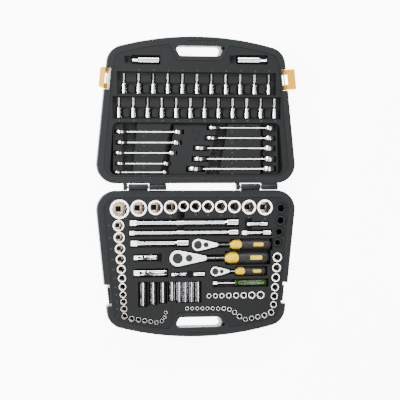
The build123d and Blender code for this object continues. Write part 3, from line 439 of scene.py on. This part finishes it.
def ease_edges(node_name, width_mm, segments=2):
    """Rounds a CAD node's sharp edges a little, as moulding or tumbling leaves them."""
    piece = frame["nodes"][node_name]
    weld = piece.modifiers.new("joined faces", "WELD")
    weld.merge_threshold = 0.002 * MM
    bevel = piece.modifiers.new("eased edges", "BEVEL")
    bevel.width = width_mm * MM
    bevel.segments = segments
    bevel.limit_method = "ANGLE"
    bevel.angle_limit = math.radians(40)
    bevel.harden_normals = False
    bevel.use_clamp_overlap = True


# ---------------------------------------------------------------- meshes
def new_piece(name, vertices, faces, material, body, smooth=True):
    """A mesh piece that rides on a body and takes its finish from a slot."""
    mesh = bpy.data.meshes.new(name)
    mesh.from_pydata(vertices, [], faces)
    mesh.validate()
    if smooth:
        mesh.shade_smooth()
    else:
        mesh.shade_flat()
    piece = bpy.data.objects.new(name, mesh)
    bpy.context.scene.collection.objects.link(piece)
    mesh.materials.append(material)
    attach(piece, body)
    return piece


def lathe(sections, sides):
    """Vertices and faces of a closed form along X.

    Each section is a function of the angle round the axis that returns a point.
    """
    vertices = []
    for section in sections:
        vertices += [section(2 * math.pi * k / sides) for k in range(sides)]
    faces = []
    for row in range(len(sections) - 1):
        for k in range(sides):
            here, after = row * sides + k, row * sides + (k + 1) % sides
            faces.append((here, after, after + sides, here + sides))
    faces.append(tuple(range(sides - 1, -1, -1)))
    last = (len(sections) - 1) * sides
    faces.append(tuple(range(last, last + sides)))
    return vertices, faces


def round_section(x, radius, y, z, flutes=0, depth=0.0, bow=0.0):
    """A section across X: round, fluted, or bowed along X at its sides."""
    def point(angle):
        r = radius - depth * (0.5 + 0.5 * math.cos(flutes * angle)) ** 3 if flutes else radius
        across, up = r * math.cos(angle), r * math.sin(angle)
        shift = bow * (across / max(radius, 1e-6)) ** 2
        return (x - shift, y + across, z + up)
    return point


def soften(piece, name):
    """Subdivides a lathed form once."""
    smooth = piece.modifiers.new(name, "SUBSURF")
    smooth.levels = smooth.render_levels = 1


# ---------------------------------------------------------------- settings
class CaseSettings(bpy.types.PropertyGroup):
    """The case's colours and surface."""
    shell_hex: StringProperty(name="Shell colour", description="sRGB hex of the two case halves",
                              default="#101417")
    tray_hex: StringProperty(name="Tray colour", description="sRGB hex of the two trays",
                             default="#0A0D0F")
    latch_hex: StringProperty(name="Latch colour", description="sRGB hex of the latches",
                              default="#E0A000")
    # painted highlight: the numbers are a lighter grey than the tray, standing in for light caught
    # on their raised faces
    numeral_highlight_hex: StringProperty(name="Number colour",
                                description="sRGB hex of the rubbed size numbers",
                                default="#4A5056")
    numeral_size: FloatProperty(name="Number size", description="Height of the size numbers, in mm",
                                default=5.0, min=1.0, max=12.0)
    grain: FloatProperty(name="Grain size",
                         description="Spacing of the moulded grain, in millimetres",
                         default=1.6, min=0.2, max=6.0)


class ToolSettings(bpy.types.PropertyGroup):
    """The tools' colours and finishes."""
    chrome_hex: StringProperty(name="Chrome", description="sRGB hex of the chrome plating",
                               default="#D6D7DB")
    black_hex: StringProperty(name="Black sockets", description="sRGB hex of the phosphate finish",
                              default="#1D1E20")
    steel_hex: StringProperty(name="Bits", description="sRGB hex of the bits' steel",
                              default="#A3A09B")
    grip_hex: StringProperty(name="Grips", description="sRGB hex of the grips' rubber",
                             default="#121213")
    collar_hex: StringProperty(name="Collars", description="sRGB hex of the yellow collars",
                               default="#EEC800")
    handle_hex: StringProperty(name="Spinner handle", description="sRGB hex of the clear handle",
                               default="#31520E")
    cross_hex: StringProperty(name="Joint crosses",
                              description="sRGB hex of the joints' cross pieces",
                              default="#4C4B4A")
    # colour of the painted shade in the socket bores
    bore_shade_hex: StringProperty(name="Bores", description="sRGB hex of the bare steel in the bores",
                             default="#7A6C5C")
    # height below which the socket bores get painted shade
    plating: FloatProperty(name="Plated down to",
                           description="Height that the plating reaches, in mm",
                           default=46.5, min=0.0)
    polish: FloatProperty(name="Chrome roughness", description="Roughness of the clean chrome",
                          default=0.1, min=0.0, max=1.0)


class StudioSettings(bpy.types.PropertyGroup):
    """The camera, the lights and the floor."""
    distance: FloatProperty(name="Camera distance", description="From the case's rim to the camera",
                            default=3.3, min=0.5, unit="LENGTH")
    from_left: FloatProperty(name="Seen from the left", description="Tilt of the view to the left",
                             default=math.radians(10.5), subtype="ANGLE")
    from_lid: FloatProperty(name="Seen from the lid",
                            description="Tilt of the view to the lid's side",
                            default=math.radians(1.5), subtype="ANGLE")
    field: FloatProperty(name="Field", description="Width seen at the case's rim",
                         default=0.913, min=0.1, unit="LENGTH")
    aim: FloatVectorProperty(name="Aim", description="The point in the middle of the picture",
                             size=3, default=(0.0065, -0.03, 0.0497), subtype="TRANSLATION")
    brightness: FloatProperty(name="Brightness", description="How strong all the soft boxes are",
                              default=1.4, min=0.0)
    floor_hex: StringProperty(name="Floor", description="sRGB hex of the lit acrylic floor",
                              default="#FFFFFF")
    floor_glow: FloatProperty(name="Floor glow",
                              description="How strongly the floor is lit from behind",
                              default=9.0, min=0.0)


# ---------------------------------------------------------------- operators
class PieceOperator(bpy.types.Operator):
    """The settings that every operator reads."""
    bl_options = {"REGISTER"}

    @property
    def case(self):
        return bpy.context.scene.tool_case

    @property
    def tools(self):
        return bpy.context.scene.case_tools


class TOOLCASE_OT_halves(PieceOperator):
    """Finish the two case halves"""
    bl_idname = "toolcase.halves"
    bl_label = "Case Halves"

    def execute(self, context):
        plastic = moulded_polypropylene("blow_moulded_polypropylene", self.case.shell_hex,
                                        self.case.grain, 0.5)
        for node in ("base_shell", "lid_shell"):
            wear(node, plastic)
            ease_edges(node, 0.5)
        return {"FINISHED"}


class TOOLCASE_OT_trays(PieceOperator):
    """Finish the two trays"""
    bl_idname = "toolcase.trays"
    bl_label = "Trays"

    def execute(self, context):
        plastic = moulded_polypropylene("moulded_tray_polypropylene", self.case.tray_hex,
                                        self.case.grain * 0.8, 0.56)
        for node in ("base_tray", "lid_tray"):
            wear(node, plastic)
            ease_edges(node, 0.6)
        return {"FINISHED"}


def numeral(text, size):
    """Vertices and faces of a number in the built-in typeface, centred, standing on z = 0."""
    curve = bpy.data.curves.new("numeral", "FONT")
    curve.body = text
    curve.size = size
    curve.extrude = NUMERAL_HEIGHT / 2
    curve.resolution_u = 3
    curve.align_x = curve.align_y = "CENTER"
    holder = bpy.data.objects.new("numeral", curve)
    bpy.context.scene.collection.objects.link(holder)
    mesh = holder.evaluated_get(bpy.context.evaluated_depsgraph_get()).to_mesh()
    vertices = [vertex.co + Vector((0, 0, NUMERAL_HEIGHT / 2)) for vertex in mesh.vertices]
    faces = [tuple(polygon.vertices) for polygon in mesh.polygons]
    bpy.data.objects.remove(holder)
    bpy.data.curves.remove(curve)
    return vertices, faces


def top_of(node_name, x, y):
    """The height of a CAD node's upper surface at a place, or None where there is none."""
    hit, place, _, _ = frame["nodes"][node_name].ray_cast(
        Vector((x, y, PROBE_HEIGHT)), Vector((0, 0, -1)))
    return place.z if hit else None


class TOOLCASE_OT_numerals(PieceOperator):
    """Emboss the size numbers on the trays"""
    bl_idname = "toolcase.numerals"
    bl_label = "Size Numbers"

    def execute(self, context):
        # painted highlight: the numbers get a lighter plastic than the tray, in place of light
        # caught on their raised tops
        painted_highlight = moulded_polypropylene("tray_polypropylene_painted_highlight", self.case.numeral_highlight_hex,
                                       self.case.grain * 0.5, 0.45)
        self.emboss("base_size_numbers", "base", "base_tray", self.base_places(), painted_highlight)
        self.emboss("lid_size_numbers", "lid", "lid_tray", self.lid_places(), painted_highlight)
        return {"FINISHED"}

    def base_places(self):
        """A number beside each socket whose opening the record gives."""
        places = []
        for opening in frame["record"]["physics"]["openings"]:
            group, _, number = opening["name"].rpartition("_")
            (x0, y0, _), (x1, y1, _) = opening["box_m"]
            x, y = (x0 + x1) / 2, (y0 + y1) / 2
            reach = (x1 - x0) * 1.15 + 4.6 * MM
            if group == "half_inch_socket":
                places.append((number, x, y - reach))
            elif group == "black_socket":
                places.append((number, x + reach + 3 * MM, y))
            elif group == "three_eighths_socket":
                places.append((THREE_EIGHTHS_SIZES[int(number) - 1], x - reach - 2.2 * MM, y))
        return places

    def lid_places(self):
        """A number by each wrench's shank and beside each bit."""
        places = []
        for node, sizes, share in (("wrenches_left", LEFT_WRENCH_SIZES, 0.42),
                                   ("wrenches_right", RIGHT_WRENCH_SIZES, 0.5)):
            low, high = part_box(node)
            for n, size in enumerate(sizes):
                y = high.y - 4 * MM - (high.y - low.y - 9 * MM) * n / (len(sizes) - 1)
                places.append((size, low.x + (high.x - low.x) * share, y - 10.5 * MM))
        for node, sizes, gap in (("bit_sockets_upper", UPPER_BIT_SIZES, 52.5),
                                 ("bit_sockets_lower", LOWER_BIT_SIZES, -6.5)):
            low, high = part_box(node)
            inset = 6.1 * MM
            for n, size in enumerate(sizes):
                x = low.x + inset + (high.x - low.x - 2 * inset) * n / (len(sizes) - 1)
                places.append((size, x, low.y + gap * MM))
        return places

    def emboss(self, name, body, tray, places, material):
        """Joins a tray's numbers in one piece, each standing on the tray's surface."""
        vertices, faces = [], []
        for text, x, y in places:
            z = top_of(tray, x, y)
            if z is None:
                continue
            own_vertices, own_faces = numeral(text, self.case.numeral_size * MM)
            start = len(vertices)
            vertices += [vertex + Vector((x, y, z - NUMERAL_SUNK)) for vertex in own_vertices]
            faces += [tuple(start + index for index in face) for face in own_faces]
        new_piece(name, vertices, faces, material, body, smooth=False)


class TOOLCASE_OT_latches(PieceOperator):
    """Finish the latches and every pin"""
    bl_idname = "toolcase.latches"
    bl_label = "Latches and Pins"

    def execute(self, context):
        plastic = moulded_abs("moulded_yellow_abs", self.case.latch_hex, 0.4)
        for node in ("latch_left", "latch_right"):
            wear(node, plastic)
            ease_edges(node, 0.7)
        steel = turned_tool_steel("drawn_pin_steel", "#8F9194")
        for node in ("hinge_pins", "latch_pins"):
            wear(node, steel)
        return {"FINISHED"}


class TOOLCASE_OT_sockets(PieceOperator):
    """Finish the sockets"""
    bl_idname = "toolcase.sockets"
    bl_label = "Sockets"

    def execute(self, context):
        chrome = chrome_plated_steel("chrome_plated_steel", self.tools.chrome_hex,
                                     self.tools.polish)
        for node in ("deep_sockets", "spark_plug_socket_left", "spark_plug_socket_right",
                     "bit_sockets_upper", "bit_sockets_lower"):
            wear(node, chrome)
        # upright sockets, with painted shade in their bores
        upright = socket_steel_painted_bore_shade("socket_steel_painted_bore_shade", self.tools.chrome_hex,
                                      self.tools.polish, self.tools.bore_shade_hex,
                                      self.tools.plating)
        for node in UPRIGHT_SOCKETS:
            wear(node, upright)
        wear("black_sockets", phosphated_steel("phosphated_steel", self.tools.black_hex))
        ease_edges("black_sockets", 0.8, 3)
        return {"FINISHED"}


class TOOLCASE_OT_bars(PieceOperator):
    """Finish the extension bars, universal joints and adapter"""
    bl_idname = "toolcase.bars"
    bl_label = "Bars and Joints"

    def execute(self, context):
        chrome = bpy.data.materials["chrome_plated_steel"]
        steel = turned_tool_steel("ground_cross_steel", self.tools.cross_hex)
        for node in BARS + ("adapter", "spinner_shaft"):
            wear(node, chrome)
        for joint in UNIVERSAL_JOINTS:
            for part in ("_drive_yoke", "_socket_yoke"):
                wear(joint + part, chrome)
                ease_edges(joint + part, 0.5)
            wear(joint + "_cross", steel)
        return {"FINISHED"}


class TOOLCASE_OT_ratchet_heads(PieceOperator):
    """Finish the ratchets' heads, discs, levers and buttons"""
    bl_idname = "toolcase.ratchet_heads"
    bl_label = "Ratchet Heads"

    def execute(self, context):
        chrome = chrome_plated_steel("satin_chrome_plated_steel", self.tools.chrome_hex,
                                     self.tools.polish + 0.1)
        dark = phosphated_steel("oiled_black_steel", "#232426")
        for ratchet in RATCHETS:
            wear(ratchet + "_body", chrome)
            for part in ("_drive", "_lever", "_button"):
                wear(ratchet + part, dark)
            ease_edges(ratchet + "_body", 0.8, 3)
        return {"FINISHED"}


class TOOLCASE_OT_grips(PieceOperator):
    """Build the ratchets' rubber grips"""
    bl_idname = "toolcase.grips"
    bl_label = "Grips"

    def execute(self, context):
        rubber = moulded_rubber("moulded_rubber", self.tools.grip_hex)
        for ratchet in RATCHETS:
            low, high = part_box(ratchet + "_grip")
            radius = (high.y - low.y) / 2 - FORM_INSET
            y, z = (low.y + high.y) / 2, (low.z + high.z) / 2
            start, length = low.x, high.x - low.x
            sections = []
            for along, share in GRIP_PROFILE:
                ridge = 0.035 * radius if 0.1 < along < 0.92 else 0.0
                sections.append(round_section(start + along * length, share * radius, y, z,
                                              flutes=6, depth=ridge))
            vertices, faces = lathe(sections, 72)
            grip = new_piece(ratchet + "_moulded_grip", vertices, faces, rubber, ratchet)
            soften(grip, "smooth rubber")
            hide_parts(ratchet + "_grip")
        return {"FINISHED"}


class TOOLCASE_OT_collars(PieceOperator):
    """Build the yellow collars and the plain label pads"""
    bl_idname = "toolcase.collars"
    bl_label = "Collars and Labels"

    def execute(self, context):
        plastic = moulded_abs("moulded_yellow_polypropylene", self.tools.collar_hex, 0.42)
        for ratchet in RATCHETS:
            grip_low, grip_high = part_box(ratchet + "_grip")
            low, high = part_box(ratchet + "_collar")
            radius = (grip_high.y - grip_low.y) / 2
            y, z = (grip_low.y + grip_high.y) / 2, (grip_low.z + grip_high.z) / 2
            length = COLLAR_LENGTH_PER_RADIUS * radius
            sections = []
            for along, share in COLLAR_PROFILE:
                bow = 0.34 * radius * max(0.0, (along - 0.3) / 0.7)
                sections.append(round_section(low.x + along * length, share * radius, y, z,
                                              bow=bow))
            vertices, faces = lathe(sections, 64)
            collar = new_piece(ratchet + "_moulded_collar", vertices, faces, plastic, ratchet)
            soften(collar, "smooth plastic")
            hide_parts(ratchet + "_collar")
            self.label(ratchet, plastic, high, radius, y, z)
        return {"FINISHED"}

    def label(self, ratchet, plastic, high, radius, y, z):
        """A plain raised pad with a sunk frame, crowned like the grip under it."""
        long, wide = LABEL_LENGTH_PER_RADIUS * radius / 2, 0.34 * radius
        middle = high.x - long
        count = 96
        vertices = []
        for share, lift in LABEL_ROWS:
            for k in range(count):
                angle = 2 * math.pi * k / count
                # a rounded rectangle, from a circle drawn to a high power
                c, s = math.cos(angle), math.sin(angle)
                across = math.copysign(abs(s) ** LABEL_CORNER_POWER,
                                           s) * (wide - (1 - share) * long)
                along = math.copysign(abs(c) ** LABEL_CORNER_POWER, c) * share * long
                crown = math.sqrt(max(1 - (across / radius) ** 2, 0))
                vertices.append((middle + along, y + across, z + radius * lift * crown))
        faces = []
        for row in range(len(LABEL_ROWS) - 1):
            for k in range(count):
                here, after = row * count + k, row * count + (k + 1) % count
                faces.append((here, after, after + count, here + count))
        last = (len(LABEL_ROWS) - 1) * count
        centre = len(vertices)
        vertices.append((middle, y, z + radius * LABEL_ROWS[-1][1]))
        faces += [(last + k, last + (k + 1) % count, centre) for k in range(count)]
        base = len(vertices)
        vertices.append((middle, y, z + radius * 0.8))
        faces += [((k + 1) % count, k, base) for k in range(count)]
        new_piece(ratchet + "_label_pad", vertices, faces, plastic, ratchet)


class TOOLCASE_OT_spinner(PieceOperator):
    """Build the spinner's clear green handle"""
    bl_idname = "toolcase.spinner"
    bl_label = "Spinner Handle"

    def execute(self, context):
        acetate = cast_acetate("cast_green_acetate", self.tools.handle_hex)
        low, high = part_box("spinner_handle")
        radius = (high.y - low.y) / 2 - FORM_INSET
        y, z = (low.y + high.y) / 2, (low.z + high.z) / 2
        start, length = low.x, high.x - low.x
        sections = []
        for along, share in HANDLE_PROFILE:
            fluted = 0.16 * radius if 0.3 < along < 0.95 else 0.0
            sections.append(round_section(start + along * length, share * radius, y, z,
                                          flutes=8, depth=fluted))
        vertices, faces = lathe(sections, 96)
        handle = new_piece("spinner_acetate_handle", vertices, faces, acetate, "spinner")
        soften(handle, "smooth acetate")
        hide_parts("spinner_handle")
        return {"FINISHED"}


class TOOLCASE_OT_bits(PieceOperator):
    """Finish the driver bits"""
    bl_idname = "toolcase.bits"
    bl_label = "Bits"

    def execute(self, context):
        steel = turned_tool_steel("turned_tool_steel", self.tools.steel_hex)
        for node in ("bits_upper", "bits_lower"):
            wear(node, steel)
        return {"FINISHED"}


class TOOLCASE_OT_wrenches(PieceOperator):
    """Finish the combination wrenches"""
    bl_idname = "toolcase.wrenches"
    bl_label = "Wrenches"

    def execute(self, context):
        chrome = bpy.data.materials["satin_chrome_plated_steel"]
        for node in ("wrenches_left", "wrenches_right"):
            wear(node, chrome)
            ease_edges(node, 0.9, 3)
        return {"FINISHED"}


class TOOLCASE_OT_studio(PieceOperator):
    """Set the floor, the lights, the backdrop and the camera"""
    bl_idname = "toolcase.studio"
    bl_label = "Studio"

    def execute(self, context):
        studio = context.scene.case_studio
        self.floor(studio)
        self.lights(studio)
        self.camera(context, studio)
        return {"FINISHED"}

    def floor(self, studio):
        """A wide round sheet of lit acrylic under the case."""
        rings, sides = 12, 64
        vertices = [(0, 0, 0)]
        for ring in range(1, rings + 1):
            r = FLOOR_REACH * ring / rings
            vertices += [(r * math.cos(2 * math.pi * k / sides),
                          r * math.sin(2 * math.pi * k / sides), 0)
                         for k in range(sides)]
        faces = [(0, 1 + k, 1 + (k + 1) % sides) for k in range(sides)]
        for ring in range(rings - 1):
            start = 1 + ring * sides
            for k in range(sides):
                after = (k + 1) % sides
                faces.append((start + k, start + sides + k, start + sides + after, start + after))
        mesh = bpy.data.meshes.new("acrylic_floor")
        mesh.from_pydata(vertices, [], faces)
        mesh.materials.append(lit_acrylic("lit_opal_acrylic", studio.floor_hex, studio.floor_glow))
        floor = bpy.data.objects.new("acrylic_floor", mesh)
        bpy.context.scene.collection.objects.link(floor)

    def lights(self, studio):
        """Soft boxes overhead, at the left, and at both ends, in a dim warm room."""
        aim = Vector(studio.aim)
        for name, place, width, depth, watts in SOFT_BOXES:
            lamp = bpy.data.lights.new(name, "AREA")
            lamp.shape = "RECTANGLE"
            lamp.size, lamp.size_y = width, depth
            lamp.energy = watts * studio.brightness
            light = bpy.data.objects.new(name, lamp)
            light.location = place
            light.rotation_euler = (aim - Vector(place)).to_track_quat("-Z", "Y").to_euler()
            bpy.context.scene.collection.objects.link(light)
        world = bpy.data.worlds.new("dim_studio")
        world.use_nodes = True
        backdrop = world.node_tree.nodes["Background"].inputs
        backdrop["Color"].default_value = linear(ROOM_HEX)
        backdrop["Strength"].default_value = ROOM_STRENGTH
        bpy.context.scene.world = world

    def camera(self, context, studio):
        """A long lens looking down, a little from the left and from the lid's side."""
        aim = Vector(studio.aim)
        back = Vector((-math.sin(studio.from_left), math.sin(studio.from_lid), 0))
        back.z = math.sqrt(1 - back.x ** 2 - back.y ** 2)
        lens = bpy.data.cameras.new("camera")
        lens.sensor_width = 36.0
        lens.lens = lens.sensor_width * studio.distance / studio.field
        camera = bpy.data.objects.new("camera", lens)
        up = Vector((0, 1, 0))
        right = up.cross(back).normalized()
        up = back.cross(right)
        turn = Matrix((right, up, back)).transposed().to_4x4()
        camera.matrix_world = Matrix.Translation(aim + back * studio.distance) @ turn
        context.scene.collection.objects.link(camera)
        context.scene.camera = camera


PIECES = (
    TOOLCASE_OT_halves,
    TOOLCASE_OT_trays,
    TOOLCASE_OT_numerals,
    TOOLCASE_OT_latches,
    TOOLCASE_OT_sockets,
    TOOLCASE_OT_bars,
    TOOLCASE_OT_ratchet_heads,
    TOOLCASE_OT_grips,
    TOOLCASE_OT_collars,
    TOOLCASE_OT_spinner,
    TOOLCASE_OT_bits,
    TOOLCASE_OT_wrenches,
    TOOLCASE_OT_studio,
)


class TOOLCASE_PT_panel(bpy.types.Panel):
    """Lists the settings and the steps"""
    bl_idname = "TOOLCASE_PT_panel"
    bl_label = "Socket Wrench Set"
    bl_space_type = "VIEW_3D"
    bl_region_type = "UI"
    bl_category = "Tool Case"

    def draw(self, context):
        for group in (context.scene.tool_case, context.scene.case_tools, context.scene.case_studio):
            box = self.layout.box()
            for key in group.bl_rna.properties.keys():
                if key not in ("rna_type", "name"):
                    box.prop(group, key)
        for piece in PIECES:
            self.layout.operator(piece.bl_idname)


CLASSES = (CaseSettings, ToolSettings, StudioSettings, *PIECES, TOOLCASE_PT_panel)


def register():
    """Adds the classes and the settings."""
    for cls in CLASSES:
        bpy.utils.register_class(cls)
    bpy.types.Scene.tool_case = PointerProperty(type=CaseSettings)
    bpy.types.Scene.case_tools = PointerProperty(type=ToolSettings)
    bpy.types.Scene.case_studio = PointerProperty(type=StudioSettings)


def unregister():
    """Takes the settings and the classes away again."""
    del bpy.types.Scene.case_studio
    del bpy.types.Scene.case_tools
    del bpy.types.Scene.tool_case
    for cls in reversed(CLASSES):
        bpy.utils.unregister_class(cls)


def main():
    """Builds every piece in order."""
    register()
    for piece in PIECES:
        group, step = piece.bl_idname.split(".")
        getattr(getattr(bpy.ops, group), step)()


if __name__ == "__main__":
    main()
